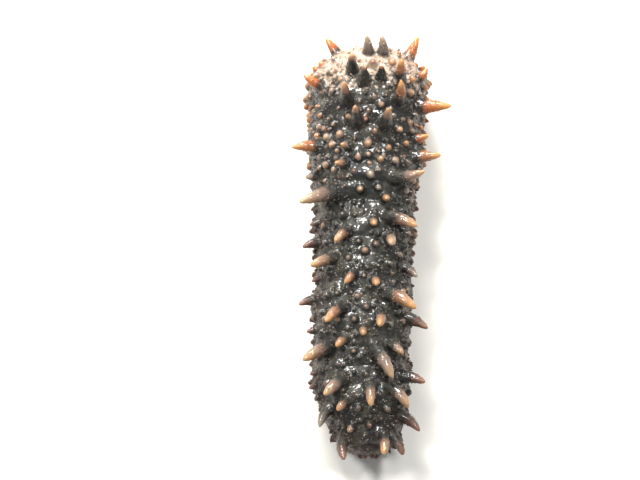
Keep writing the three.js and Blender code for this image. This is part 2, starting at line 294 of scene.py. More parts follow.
# The body's shape, for single places and for whole arrays of them
def half_width(station):
    return between(smooth_step(WIDEN_FROM, WIDEN_TO, station), REAR_HALF_WIDTH, FRONT_HALF_WIDTH)


def cap_scale(station):
    into_front = np.maximum(0, (station - FRONT_TIP + FRONT_CAP) / FRONT_CAP)
    into_rear = np.maximum(0, (REAR_TIP + REAR_CAP - station) / REAR_CAP)
    front = np.maximum(0, 1 - into_front ** FRONT_CAP_POWER) ** (1 / FRONT_CAP_POWER)
    rear = np.maximum(0, 1 - into_rear ** REAR_CAP_POWER) ** (1 / REAR_CAP_POWER)
    return front * rear


def axis_x(station):
    swing = REAR_SWING * smooth_step(REAR_SWING_FROM, REAR_SWING_TO, station)
    return AXIS_OFFSET + AXIS_SLOPE * station + swing


def skin_points(station, angle_in_degrees):
    """Places on the skin, in millimetres, as an array with x, y and z last"""
    angle = np.asarray(angle_in_degrees) * DEGREES
    station, angle = np.broadcast_arrays(np.asarray(station, float), angle)
    across, up = np.cos(angle), np.sin(angle)
    width = half_width(station)
    height = HEIGHT_PER_HALF_WIDTH * width
    power = 2 / np.where(up > 0, BACK_POWER, SOLE_POWER)
    reach = np.where(up > 0, 1 - LOWER_SHARE, LOWER_SHARE) * height
    swell = LONG_SWELL * np.sin(LONG_SWELL_PACE * station + 2 * up)
    swell = swell + SHORT_SWELL * np.sin(SHORT_SWELL_PACE * station + 3 * angle + 1)
    scale = cap_scale(station) * (1 + swell * smooth_step(*SWELL_ZONE, up) / width)
    x = width * np.sign(across) * np.abs(across) ** power * scale
    z = reach * np.sign(up) * np.abs(up) ** power * scale
    forward = FACE_TILT * z * np.maximum(0, (station - FRONT_TIP + FRONT_CAP) / FRONT_CAP)
    axis_z = FOOT_LENGTH + LOWER_SHARE * height
    return np.stack([axis_x(station) + x, station + forward, axis_z + z], axis=-1) + ORIGIN_SHIFT


def skin_normals(station, angle, step=0.05, turn=0.5):
    along = skin_points(station + step, angle) - skin_points(station - step, angle)
    around = skin_points(station, angle + turn) - skin_points(station, angle - turn)
    normal = np.cross(along, around)
    return normal / np.linalg.norm(normal, axis=-1, keepdims=True)


def ridge_crest(station, angle):
    """How near a place is to the crest of a ridge that runs across the back, from 0 to 1"""
    sway = RIDGE_SWAY * np.sin(3 * angle * DEGREES)
    return np.sqrt(np.abs(np.sin(math.pi * station / RIDGE_STEP + sway)))


def crest_chance(station, angle):
    """How likely a small wart or a pebble is kept at a place: more along the crests of the ridges"""
    return between(ridge_crest(station, angle) ** 3, VALLEY_CHANCE, 1)


def flank_share(angle):
    """How far round from the back to a flank an angle is, from 0 to 1"""
    return abs(math.cos(angle * DEGREES))


# Where the papillae and the warts stand
growths = []


def grow(kind, station, angle, length, radius, tip):
    growths.append({
        "kind": kind,
        "station": station,
        "angle": angle,
        "length": length,
        "radius": radius,
        "tip": np.asarray(tip),
        "foot": skin_points(station, angle),
        "normal": skin_normals(station, angle),
    })


def place_papilla(station, angle, length, swing, more_lean):
    lean = (np.interp(station, *zip(*LEAN_PLACES)) + more_lean) * DEGREES
    outward = swing * DEGREES
    tip = (math.cos(lean) * math.cos(outward), -math.sin(lean), math.cos(lean) * math.sin(outward))
    grow("papilla", station, angle, length, RADIUS_AT_ZERO + RADIUS_PER_LENGTH * length, tip)


for row_angle, swing, papillae in ROWS:
    for station, length, *changes in papillae:
        turn, more_lean = (*changes, 0, 0)[:2]
        place_papilla(station, row_angle + turn, length, swing, more_lean)
for row in EVEN_ROWS:
    for angle in row["angles"]:
        station = row["from"]
        while station > row["to"]:
            clear = min(abs(cut - station) for cut in CUTS)
            length = draw(*row["lengths"])
            if clear > RADIUS_AT_ZERO + RADIUS_PER_LENGTH * length + GAP:
                swing = angle + draw(-SWING_JITTER, SWING_JITTER)
                place_papilla(station, angle, length, swing, draw(-LEAN_JITTER, LEAN_JITTER))
            station -= row["step"]


def clear_of_growths(foot, radius, clearance):
    return all(
        np.linalg.norm(other["foot"] - foot) > other["radius"] + radius + clearance
        for other in growths
    )


station, odd = WART_FROM, False
while station > REAR_TIP + WART_STEP:
    for row_angle in WART_ANGLES:
        place = station + draw(-WART_SCATTER, WART_SCATTER)
        angle = row_angle + (WART_STAGGER if odd else 0) + draw(-WART_TURN, WART_TURN)
        height, radius = draw(*WART_HEIGHTS), draw(*WART_RADII)
        clear_of_cuts = all(abs(cut - place) > radius + 2 * GAP for cut in CUTS)
        if clear_of_cuts and clear_of_growths(skin_points(place, angle), radius, WART_CLEARANCE):
            grow("wart", place, angle, height, radius, skin_normals(place, angle))
    station -= WART_STEP / 2
    odd = not odd
for _ in range(SMALL_WART_TRIES):
    place, angle = draw(*SMALL_WART_STATIONS), draw(*SMALL_WART_ANGLES)
    bigger = 1 + BIGGER_WART_SHARE * smooth_step(*BIGGER_WART_ZONE, place)
    bigger += BIGGEST_WART_SHARE * smooth_step(*BIGGEST_WART_ZONE, place) * flank_share(angle)
    height, radius = draw(*SMALL_WART_HEIGHTS) * bigger, draw(*SMALL_WART_RADII) * bigger
    on_crest = draw(0, 1) < crest_chance(place, angle)
    in_coat = draw(0, 1) < between(smooth_step(*FULL_COAT_ZONE, place), 0.5, 1)
    foot = skin_points(place, angle)
    if on_crest and in_coat and clear_of_growths(foot, radius, SMALL_WART_CLEARANCE):
        sway, lean = draw(-SMALL_WART_SWAY, SMALL_WART_SWAY), draw(-SMALL_WART_LEAN, 0)
        tip = skin_normals(place, angle) + np.array([sway, lean, 0])
        grow("wart", place, angle, height, radius, tip / np.linalg.norm(tip))


def papilla_tone(station, sideways):
    """How warm a papilla's colour is, from a dusky 0 over greys and tans to an orange 1, the share of
    its length that is as dark as the skin, and how pale its tip gets"""
    at_front = smooth_step(*FRONT_ZONE, station)
    low_down = smooth_step(*LOW_FLANK_ZONE, sideways) * smooth_step(*LOW_ZONE, station)
    at_rear = smooth_step(*REAR_ZONE, station) * smooth_step(*REAR_FLANK_ZONE, sideways)
    on_brow = smooth_step(*BROW_ZONE, station) * smooth_step(*BROW_BACK_ZONE, sideways)
    front_warmth = FRONT_WARMTH + FRONT_FLANK_WARMTH * smooth_step(*WARM_FLANK_ZONE, sideways)
    warmth = between(at_front, draw(*PAPILLA_WARMTHS), front_warmth)
    # Partly their own colour and partly painted shade: papillae low on the flanks and on the rear
    # flanks lose warmth
    warmth = between(on_brow, warmth * (1 - DULLED_SHARE * max(low_down, at_rear)), BROW_WARMTH)
    darkening = at_front * (FRONT_DARKENING - FRONT_FLANK_LIGHTENING * sideways)
    dark_share = draw(*PAPILLA_DARK_SHARES) + darkening
    return warmth, between(on_brow, dark_share, BROW_DARK_SHARE), 1


def wart_tone(station, sideways, radius):
    """The same three for a wart"""
    at_front = smooth_step(*FRONT_ZONE, station)
    ahead = smooth_step(*AHEAD_ZONE, station)
    warmth = draw(*WART_WARMTHS) + BIG_WART_WARMTH * smooth_step(*BIG_WART_ZONE, radius)
    warmth += FRONT_WART_WARMTH * at_front * sideways
    # Partly their own colour and partly painted light and shade: warts warmer and paler ahead and on
    # the front flanks, duller towards the rear
    warmth *= between(smooth_step(*WARMER_AHEAD_ZONE, station), REAR_WART_WARMTH_SHARE, 1)
    dark_share = draw(*WART_DARK_SHARES) - AHEAD_WART_LIGHTENING * ahead
    dark_share -= FRONT_WART_LIGHTENING * at_front * sideways
    return warmth, dark_share, between(ahead, REAR_WART_PALENESS, 1)


for growth in growths:
    station, sideways = growth["station"], flank_share(growth["angle"])
    if growth["kind"] == "papilla":
        warmth, dark_share, palest = papilla_tone(station, sideways)
        bluntness = smooth_step(*BLUNT_ZONE, station) * smooth_step(*BLUNT_FLANK_ZONE, sideways)
    else:
        warmth, dark_share, palest = wart_tone(station, sideways, growth["radius"])
        bluntness = 0
    growth["warmth"] = float(np.clip(warmth, 0, 1))
    growth["dark_share"] = max(LEAST_DARK_SHARE, dark_share)
    growth["palest"] = palest
    growth["bluntness"] = bluntness


# Modelling
def deselect_all():
    bpy.ops.object.select_all(action="DESELECT")


def smooth_shade(piece):
    deselect_all()
    piece.select_set(True)
    bpy.context.view_layer.objects.active = piece
    bpy.ops.object.shade_smooth()


def copy_of(master):
    copy = master.copy()
    copy.data = master.data.copy()
    bpy.context.collection.objects.link(copy)
    return copy


def apply_modifier(piece, name, kind, **settings):
    modifier = piece.modifiers.new(name, kind)
    for key, value in settings.items():
        setattr(modifier, key, value)
    bpy.context.view_layer.objects.active = piece
    bpy.ops.object.modifier_apply(modifier=name)


def read_points(mesh):
    flat = np.empty(len(mesh.vertices) * 3)
    mesh.vertices.foreach_get("co", flat)
    return flat.reshape(-1, 3)


def write_points(mesh, points):
    mesh.vertices.foreach_set("co", np.asarray(points).reshape(-1))
    mesh.update()


def turned_up(name, profile, sides):
    """A round form on the Z axis: a disc extruded up and drawn in, ring by ring"""
    deselect_all()
    height, radius = profile[0]
    bpy.ops.mesh.primitive_circle_add(
        vertices=sides, radius=radius, fill_type="NGON", location=(0, 0, height)
    )
    bpy.ops.object.transform_apply()
    bpy.ops.object.mode_set(mode="EDIT")
    bpy.ops.mesh.select_all(action="SELECT")
    for next_height, next_radius in profile[1:]:
        rise = {"value": (0, 0, next_height - height)}
        bpy.ops.mesh.extrude_region_move(TRANSFORM_OT_translate=rise)
        share = next_radius / radius
        bpy.ops.transform.resize(value=(share, share, 1))
        height, radius = next_height, next_radius
    bpy.ops.mesh.select_all(action="SELECT")
    bpy.ops.mesh.normals_make_consistent(inside=False)
    bpy.ops.object.mode_set(mode="OBJECT")
    form = bpy.context.active_object
    form.name = name
    return form


def pucker_turn(place):
    return (-place["facing"] * 90 + place["pitch"]) * DEGREES


def pucker_reach(place, points):
    """How far points in millimetres lie from a pucker's axis, as a share of its radius, and how far
    out along that axis"""
    tilt = pucker_turn(place)
    local = points - ORIGIN_SHIFT - [axis_x(place["station"]), place["station"], place["height"]]
    y = local[:, 1] * math.cos(tilt) + local[:, 2] * math.sin(tilt)
    out = local[:, 2] * math.cos(tilt) - local[:, 1] * math.sin(tilt)
    return np.hypot(local[:, 0], y) / place["radius"], out


def lumps(points):
    """Soft, uneven lumps in two sizes, as heights at points in millimetres"""
    heights = []
    for point in points:
        place = Vector(point)
        small = noise.noise(place * SMALL_LUMP_PACE)
        heights.append(noise.noise(place * LUMP_PACE) + SMALL_LUMP_SHARE * small)
    return np.array(heights)


def body_form():
    """A sphere's even net drawn out to the body's outline, with soft rings and hollows"""
    deselect_all()
    bpy.ops.mesh.primitive_uv_sphere_add(segments=144, ring_count=240, radius=1)
    body = bpy.context.active_object
    body.name = "body_form"
    points = read_points(body.data)
    middle, half = (FRONT_TIP + REAR_TIP) / 2, (FRONT_TIP - REAR_TIP) / 2
    station = np.clip(middle + half * points[:, 2], REAR_TIP + TIP_MARGIN, FRONT_TIP - TIP_MARGIN)
    angle = np.degrees(np.arctan2(points[:, 1], points[:, 0]))
    skin = skin_points(station, angle)
    normal = skin_normals(station, angle)
    above_sole = smooth_step(*RELIEF_ZONE, np.sin(angle * DEGREES))
    off_tips = smooth_step(*OFF_TIPS_ZONE, cap_scale(station))
    rings = RIDGE_HEIGHT * (ridge_crest(station, angle) - RIDGE_LEVEL)
    skin += normal * ((rings + LUMP_HEIGHT * lumps(skin)) * above_sole * off_tips)[:, None]
    for place in PUCKERS:
        reach, out = pucker_reach(place, skin)
        hollow = HOLLOW_DEPTH * smooth_step(*HOLLOW_ZONE, reach) * (out > HOLLOW_BACK)
        skin[:, 1] -= place["facing"] * hollow
    write_points(body.data, skin * MM)
    return body


# Directions to turn the spokes of growths and of pebbles by, which none of them points in
OFF_GROWTHS = (0.31, 0.52, 0.8)
OFF_PEBBLES = (0.2, 0.3, 0.93)


def bend_over(points, growth, depth):
    """Moves a unit form, round on Z from 0 to 1, onto the curve of one papilla or wart"""
    foot, normal, length = growth["foot"], growth["normal"], growth["length"]
    root = foot - normal * depth
    knee = foot + normal * length * RISE_SHARE
    end = foot + growth["tip"] * length
    share = np.clip(points[:, 2], 0, 1)[:, None]
    centre = (1 - share) ** 2 * root + 2 * share * (1 - share) * knee + share ** 2 * end
    tangent = 2 * (1 - share) * (knee - root) + 2 * share * (end - knee)
    tangent /= np.linalg.norm(tangent, axis=1, keepdims=True)
    side = np.cross(tangent, OFF_GROWTHS)
    side /= np.linalg.norm(side, axis=1, keepdims=True)
    other = np.cross(tangent, side)
    spokes = points[:, :1] * side + points[:, 1:2] * other
    head = BLUNT_HEAD * smooth_step(*BLUNT_HEAD_ZONE, share)
    fullness = 1 + growth["bluntness"] * (head - BLUNT_ROOT)
    return (centre + spokes * growth["radius"] * fullness) * MM


def plant(master, growth):
    copy = copy_of(master)
    depth = ROOT_DEPTHS[growth["kind"]]
    write_points(copy.data, bend_over(read_points(master.data), growth, depth))
    return copy


def pucker(place):
    """A ring of folds that run in to a pit, turned up on Z and laid against one end of the body"""
    radius = place["radius"]
    profile = [(height, radius * share) for height, share in PUCKER_PROFILE]
    form = turned_up("pucker", profile, SIDES_PER_FOLD * place["folds"])
    points = read_points(form.data)
    turn = np.arctan2(points[:, 1], points[:, 0])
    reach = np.hypot(points[:, 0], points[:, 1])
    fold = np.cos(place["folds"] * turn + FOLD_SWAY * np.sin(2 * turn))
    on_top = smooth_step(*FOLD_TOP_ZONE, points[:, 2])
    points[:, 2] += FOLD_HEIGHT * fold * on_top * smooth_step(*FOLD_ZONE, reach / radius)
    swell = 1 + FOLD_SWELL * fold * on_top
    points[:, :2] *= swell[:, None]
    tilt = pucker_turn(place)
    y = points[:, 1] * math.cos(tilt) - points[:, 2] * math.sin(tilt)
    z = points[:, 1] * math.sin(tilt) + points[:, 2] * math.cos(tilt)
    x = points[:, 0] + axis_x(place["station"])
    placed = np.stack([x, y + place["station"], z + place["height"]], axis=1) + ORIGIN_SHIFT
    write_points(form.data, placed * MM)
    return form


def foot_copy(master, station, x, height, radius):
    copy = copy_of(master)
    points = read_points(master.data) * [radius, radius, height]
    place = np.array([axis_x(station) + x, station, 0]) + ORIGIN_SHIFT
    write_points(copy.data, (points + place) * MM)
    return copy


def sole_height(station, across):
    """How high the sole is over the floor, this share of the way from its middle line to its edge"""
    drop = cap_scale(station) * (1 - across ** SOLE_POWER) ** (1 / SOLE_POWER)
    return FOOT_LENGTH + LOWER_SHARE * (HEIGHT_PER_HALF_WIDTH * half_width(station)) * (1 - drop)


def feet():
    """Tube feet in three bands of close, staggered lines, each from the floor up into the sole"""
    master = turned_up("foot", FOOT_PROFILE, FOOT_SIDES)
    planted = []
    for band in FOOT_BANDS:
        for line, offset in enumerate(FOOT_ROWS):
            station = FOOT_END - (line % 2) * FOOT_STEP / 2
            while station > -FOOT_END:
                place = station + draw(-FOOT_SCATTER_ALONG, FOOT_SCATTER_ALONG)
                x = band + offset + draw(-FOOT_SCATTER_ACROSS, FOOT_SCATTER_ACROSS)
                station -= FOOT_STEP
                across = abs(x) / (half_width(place) * cap_scale(place))
                if across < OUTERMOST_FOOT and sole_height(place, across) < HIGHEST_FOOT_ROOT:
                    height = sole_height(place, across) + FOOT_ROOT_DEPTH
                    radius = FOOT_RADIUS * draw(*FOOT_SIZES)
                    planted.append(foot_copy(master, place, x, height, radius))
    bpy.data.objects.remove(master)
    return planted


def join(pieces, name):
    deselect_all()
    for piece in pieces:
        piece.select_set(True)
    bpy.context.view_layer.objects.active = pieces[0]
    bpy.ops.object.join()
    whole = bpy.context.active_object
    whole.name = name
    return whole


def skin_piece():
    """Body, papillae, warts, puckers and feet fused into one skin, then eased and finely wrinkled"""
    masters = {
        "papilla": turned_up("papilla", PAPILLA_PROFILE, PAPILLA_SIDES),
        "wart": turned_up("wart", WART_PROFILE, WART_SIDES),
    }
    pieces = [body_form()]
    pieces += [plant(masters[growth["kind"]], growth) for growth in growths]
    for master in masters.values():
        bpy.data.objects.remove(master)
    pieces += [pucker(place) for place in PUCKERS]
    pieces += feet()
    skin = join(pieces, "skin")
    apply_modifier(skin, "fuse", "REMESH", mode="VOXEL", voxel_size=VOXEL * MM, adaptivity=0)
    apply_modifier(skin, "ease", "SMOOTH", factor=0.5, iterations=3)
    wrinkles = bpy.data.textures.new("wrinkles", "CLOUDS")
    wrinkles.noise_scale = WRINKLE_GRAIN * MM
    wrinkles.noise_depth = 2
    apply_modifier(skin, "wrinkles", "DISPLACE", texture=wrinkles, texture_coords="LOCAL",
                   strength=WRINKLE_HEIGHT * MM, mid_level=0.5)
    spare = MOST_SKIN_TRIANGLES / sum(len(face.vertices) - 2 for face in skin.data.polygons)
    if spare < 1:
        apply_modifier(skin, "thin_out", "DECIMATE", ratio=spare)
    points = read_points(skin.data)
    points[:, 2] = np.maximum(points[:, 2], 0)
    write_points(skin.data, points)
    smooth_shade(skin)
    return skin


# The paleness of the skin that is on no papilla or wart
BARE = -0.5

# How far off a growth's curve a point still belongs to it: this many radii at the root, fewer by the
# next number at the tip, and a margin in millimetres
REACH_AT_ROOT = 1.35
REACH_LOST_BY_TIP = 0.7
REACH_MARGIN = 0.3


def growth_reader():
    """Returns a function that takes a point in millimetres and gives the number of its nearest growth
    and the share of the way up that growth, which is 0 off it"""
    steps = 9
    tree = kdtree.KDTree(len(growths) * steps)
    for number, growth in enumerate(growths):
        for step in range(steps):
            share = step / (steps - 1)
            point = bend_over(np.array([[0, 0, share]]), growth, 0)[0] / MM
            tree.insert(point, number * steps + step)
    tree.balance()

    def read(point):
        _, index, distance = tree.find(point)
        number, step = divmod(index, steps)
        share = step / (steps - 1)
        reach = growths[number]["radius"] * (REACH_AT_ROOT - REACH_LOST_BY_TIP * share) + REACH_MARGIN
        return number, 0.0 if distance > reach else share

    return read


def add_attribute(mesh, name, values):
    attribute = mesh.attributes.new(name, "FLOAT", "POINT")
    attribute.data.foreach_set("value", np.asarray(values, dtype=float))


def paleness(share, growth):
    """How far into the coloured part of its growth a place is: 0 where that starts, 1 at the tip"""
    start = growth["dark_share"]
    return np.clip((share - start) / (1 - start), BARE, growth["palest"])


def soften(mesh, values, times=4):
    """Blends the values of a mesh's points with those of their neighbours, in place"""
    edges = np.empty(len(mesh.edges) * 2, dtype=int)
    mesh.edges.foreach_get("vertices", edges)
    edges = edges.reshape(-1, 2)
    count = np.bincount(edges.reshape(-1), minlength=len(values))
    for _ in range(times):
        total = np.zeros(len(values))
        np.add.at(total, edges, values[edges[:, ::-1]])
        values += 0.5 * (total / np.maximum(count, 1) - values)


def mark_growths(skin):
    """Gives every point of the skin its paleness, how warm the colour of its growth is, and whether
    it is on a papilla"""
    read = growth_reader()
    found = []
    for point in read_points(skin.data) / MM:
        number, share = read(point)
        found.append((growths[number], share))
    pale = np.array([paleness(share, growth) if share else BARE for growth, share in found])
    on_papilla = np.array([
        float(growth["kind"] == "papilla" and share > 0) for growth, share in found
    ])
    soften(skin.data, pale)
    soften(skin.data, on_papilla)
    add_attribute(skin.data, "paleness", pale)
    add_attribute(skin.data, "on_papilla", on_papilla)
    add_attribute(skin.data, "warmth", [growth["warmth"] for growth, _ in found])


def mark_puckers(skin):
    """Gives every point of the skin its share in the lips and in the pits of mouth and anus"""
    points = read_points(skin.data) / MM
    lips, pits = np.zeros(len(points)), np.zeros(len(points))
    for place in PUCKERS:
        reach, out = pucker_reach(place, points)
        near = smooth_step(*LIP_ZONE, reach) * (out > LIP_BACK)
        lips = np.maximum(lips, near * place["lip_share"])
        # The pits' share is where the painted shade goes
        pits = np.maximum(pits, near * smooth_step(*PIT_ZONE, reach))
    add_attribute(skin.data, "lips", lips)
    add_attribute(skin.data, "pit", pits)


# The unwrap starts and ends under the sole. It has a margin at both tips, in millimetres, and spare
# width for the faces that lie over its seam.
UNWRAP_TURN = 0.75
UNWRAP_MARGIN = 8
UNWRAP_WIDTH = 1.05
FAR_SIDE = 0.8
NEAR_SIDE = 0.2


def unwrapped(points):
    """Where points in millimetres lie on the skin's unwrap: angle across, station up, both 0 to 1"""
    local = points - ORIGIN_SHIFT
    axis_z = FOOT_LENGTH + LOWER_SHARE * HEIGHT_PER_HALF_WIDTH * half_width(local[:, 1])
    turn = np.arctan2(local[:, 2] - axis_z, local[:, 0] - axis_x(local[:, 1])) / (2 * math.pi)
    up = (local[:, 1] - REAR_TIP + UNWRAP_MARGIN) / (FRONT_TIP - REAR_TIP + 2 * UNWRAP_MARGIN)
    return np.stack([(turn + UNWRAP_TURN) % 1, up], axis=1)


def lay_out(skin):
    """The skin's own unwrap, in a UV map named OFBake"""
    layer = skin.data.uv_layers.new(name="OFBake")
    corner_points = np.empty(len(skin.data.loops), dtype=int)
    skin.data.loops.foreach_get("vertex_index", corner_points)
    flat = unwrapped(read_points(skin.data) / MM)[corner_points]
    starts = np.empty(len(skin.data.polygons), dtype=int)
    skin.data.polygons.foreach_get("loop_start", starts)
    totals = np.empty(len(skin.data.polygons), dtype=int)
    skin.data.polygons.foreach_get("loop_total", totals)
    face = np.repeat(np.arange(len(starts)), totals)
    widest = np.full(len(starts), 0.0)
    np.maximum.at(widest, face, flat[:, 0])
    over_seam = (widest[face] > FAR_SIDE) & (flat[:, 0] < NEAR_SIDE)
    flat[over_seam, 0] += 1
    flat[:, 0] /= UNWRAP_WIDTH
    layer.data.foreach_set("uv", flat.reshape(-1))


def face_measures(mesh):
    """The centres in millimetres, the normals and the areas of a mesh's faces"""
    count = len(mesh.polygons)
    centres, normals, areas = np.empty(count * 3), np.empty(count * 3), np.empty(count)
    mesh.polygons.foreach_get("center", centres)
    mesh.polygons.foreach_get("normal", normals)
    mesh.polygons.foreach_get("area", areas)
    return centres.reshape(-1, 3) / MM, normals.reshape(-1, 3), areas


def pebble_form():
    """The points of a low dome, and those of its faces that stay in sight"""
    dome = turned_up("pebble", PEBBLE_PROFILE, PEBBLE_SIDES)
    unit = read_points(dome.data)
    faces = [tuple(face.vertices) for face in dome.data.polygons if face.center.z > PEBBLE_FLOOR]
    bpy.data.objects.remove(dome)
    return unit, faces


def pebble_spots(centres, areas, dice):
    """Yields each face that carries a pebble, with the pebble's radius, the growth nearest to it, the
    share of the way up that growth, and whether it lies on a papilla"""
    tries = min(len(areas), PEBBLE_COUNT * 4)
    order = dice.choice(len(areas), size=tries, replace=False, p=areas / areas.sum())
    read = growth_reader()
    least_share, most_share = PEBBLED_PAPILLA_SHARES
    taken = set()
    for face in order:
        centre = centres[face]
        number, share = read(centre)
        growth = growths[number]
        on_papilla = growth["kind"] == "papilla" and least_share < share < most_share
        if centre[2] < LOWEST_PEBBLE or (share > PEBBLED_ROOT_SHARE and not on_papilla):
            continue
        if centre[1] < PEBBLED_FROM and dice.random() < REAR_PEBBLES_LOST:
            continue
        if any(pucker_reach(place, centre[None])[0][0] < PEBBLE_FREE_REACH for place in PUCKERS):
            continue
        x, station, z = centre - ORIGIN_SHIFT
        angle = math.atan2(z - MID_HEIGHT, x - axis_x(station)) / DEGREES
        if not on_papilla and dice.random() > crest_chance(station, angle):
            continue
        radius = between(dice.random() ** PEBBLE_RARITY, *PEBBLE_RADII)
        radius *= PAPILLA_PEBBLE_SIZE if on_papilla else 1
        cell = tuple((centre / PEBBLE_SPACING).astype(int))
        if cell not in taken:
            taken.add(cell)
            yield face, radius, growth, share, on_papilla


def pebble_place(unit, centre, normal, radius, dice):
    """A pebble's points in millimetres, turned to its face and a little out of round"""
    side = np.cross(normal, OFF_PEBBLES)
    side /= np.linalg.norm(side)
    directions = np.stack([side, np.cross(normal, side), normal])
    limits = (PEBBLE_WIDTHS, PEBBLE_WIDTHS, PEBBLE_HEIGHTS)
    size = [radius * dice.uniform(least, most) for least, most in limits]
    return centre + (unit * np.array(size)) @ directions


def lay_out_pebbles(mesh, unit, centres):
    """The pebbles' unwrap: each one's points in a small patch round its place on the skin's unwrap"""
    patch = 0.003
    roots = np.repeat(unwrapped(np.array(centres)), len(unit), axis=0)
    spots = roots + np.tile(unit[:, :2], (len(centres), 1)) * patch / 2
    corner_points = np.empty(len(mesh.loops), dtype=int)
    mesh.loops.foreach_get("vertex_index", corner_points)
    layer = mesh.uv_layers.new(name="OFBake")
    layer.data.foreach_set("uv", spots[corner_points].reshape(-1))


def pebble_piece(skin):
    """Small low domes set close over the skin, each sunk into it and turned to its face"""
    unit, faces = pebble_form()
    centres, normals, areas = face_measures(skin.data)
    dice = np.random.default_rng(7)
    points, corners, tips, warmths, places, on_papillae = [], [], [], [], [], []
    for face, radius, growth, share, on_papilla in pebble_spots(centres, areas, dice):
        first = len(points) * len(unit)
        corners += [tuple(first + corner for corner in loop) for loop in faces]
        points.append(pebble_place(unit, centres[face], normals[face], radius, dice) * MM)
        if on_papilla:
            tips.append(paleness(share + PEBBLE_TOP_SHARE * unit[:, 2], growth))
            warmth = growth["warmth"]
        else:
            dull = smooth_step(*DULL_PEBBLE_ZONE, (centres[face] - ORIGIN_SHIFT)[1])
            pale = np.clip(unit[:, 2] * dice.uniform(0, 1), 0, 1)
            tips.append(pale * (1 - DULL_PEBBLE_SHARE * dull))
            warmth = dice.uniform(*PEBBLE_WARMTHS)
        warmths.append(np.full(len(unit), warmth))
        on_papillae.append(np.full(len(unit), float(on_papilla)))
        places.append(centres[face])
        if len(points) == PEBBLE_COUNT:
            break
    pebbles = bpy.data.meshes.new("pebbles")
    pebbles.from_pydata(np.concatenate(points), [], corners)
    add_attribute(pebbles, "paleness", np.concatenate(tips))
    add_attribute(pebbles, "warmth", np.concatenate(warmths))
    add_attribute(pebbles, "on_papilla", np.concatenate(on_papillae))
    lay_out_pebbles(pebbles, unit, places)
    piece = bpy.data.objects.new("pebbles", pebbles)
    bpy.context.collection.objects.link(piece)
    smooth_shade(piece)
    return piece


# Finishes
class Value:
    """A shader socket that Python's own operators work on"""

    def __init__(self, finish, socket):
        self.finish = finish
        self.socket = socket

    def maths(self, operation, first, second):
        return self.finish.node("ShaderNodeMath", {"operation": operation}, {0: first, 1: second})

    def __add__(self, other):
        return self.maths("ADD", self, other)

    def __sub__(self, other):
        return self.maths("SUBTRACT", self, other)

    def __rsub__(self, other):
        return self.maths("SUBTRACT", other, self)

    def __mul__(self, other):
        return self.maths("MULTIPLY", self, other)

    __radd__ = __add__
    __rmul__ = __mul__


class Finish:
    """One material, made by its node method"""

    def __init__(self, name):
        self.material = bpy.data.materials.new(name)
        self.material.use_nodes = True
        self.tree = self.material.node_tree
        self.tree.nodes.clear()

    def node(self, kind, settings=None, values=None, output=0):
        node = self.tree.nodes.new(kind)
        for key, value in (settings or {}).items():
            if key == "stops":
                self.set_stops(node.color_ramp, value)
            else:
                setattr(node, key, value)
        for key, value in (values or {}).items():
            if isinstance(value, Value):
                self.tree.links.new(value.socket, node.inputs[key])
            else:
                node.inputs[key].default_value = value
        return Value(self, node.outputs[output]) if len(node.outputs) else None

    def set_stops(self, ramp, stops):
        while len(ramp.elements) < len(stops):
            ramp.elements.new(0.5)
        for element, (place, colour) in zip(ramp.elements, stops):
            element.position = place
            element.color = (*colour, 1)

    def place(self):
        return self.node("ShaderNodeTexCoord", output="Object")

    def along(self, axis):
        """The place along one axis, in metres"""
        return self.node("ShaderNodeSeparateXYZ", {}, {"Vector": self.place()}, output=axis)

    def grain(self, per_mm, detail):
        return self.node("ShaderNodeTexNoise", {}, {
            "Vector": self.place(), "Scale": per_mm / MM, "Detail": detail,
        })

    def attribute(self, name):
        return self.node("ShaderNodeAttribute", {"attribute_name": name}, output="Fac")

    def ramp(self, stops, value):
        return self.node("ShaderNodeValToRGB", {"stops": stops}, {"Fac": value})

    def step(self, value, low, high):
        return self.node("ShaderNodeMapRange", {"interpolation_type": "SMOOTHSTEP"}, {
            "Value": value, "From Min": low, "From Max": high,
        })

    def mix(self, factor, first, second):
        """A colour between two, each a link or three numbers"""
        def as_colour(colour):
            return colour if isinstance(colour, Value) else (*colour, 1)
        return self.node("ShaderNodeMix", {"data_type": "RGBA"}, {
            0: factor, 6: as_colour(first), 7: as_colour(second),
        }, output=2)

    def close(self, **values):
        shader = self.node("ShaderNodeBsdfPrincipled", {}, values)
        self.node("ShaderNodeOutputMaterial", {}, {"Surface": shader})
        return self.material


# Colours of the skin between the papillae and warts
NEAR_BLACK = (0.015, 0.0155, 0.0145)
OLIVE = (0.046, 0.041, 0.028)
FLANK_BROWN = (0.085, 0.04, 0.026)
# The pale flesh colour of the broad end is partly its own and partly painted light, where the light
# washes the top of that end out
CREAM_AND_PAINTED_LIGHT = (0.52, 0.39, 0.29)
LIP_BROWN = (0.2, 0.095, 0.055)
# Painted shade: dark brown put in the pits of mouth and anus, where shade falls
PAINTED_PIT_SHADE = (0.03, 0.013, 0.01)

# Where they lie: zones in metres, along the body for the broad end and up from the floor for the
# next three, then zones of the noise that spreads them
BROAD_END_ZONE = (0.034, 0.05)
FLANK_ZONE = (0.004, 0.021)
PAINTED_TOP_LIGHT_ZONE = (0.013, 0.025)
WET_HEIGHT_ZONE = (0.012, 0.024)
OLIVE_ZONE = (0.45, 0.75)
CREAM_AND_LIGHT_ZONE = (0.66, 0.95)
BROAD_END_CREAM_AND_LIGHT = 0.45
MOST_FLANK_BROWN = 0.8
MOST_CREAM_AND_LIGHT = 0.8

# Where the growths' colours take over from the skin, by paleness, and how much the grain blurs that
HALF_WAY_ZONE = (-0.05, 0.4)
TIP_ZONE = (0.4, 1.0)
PALENESS_BLUR = 0.4

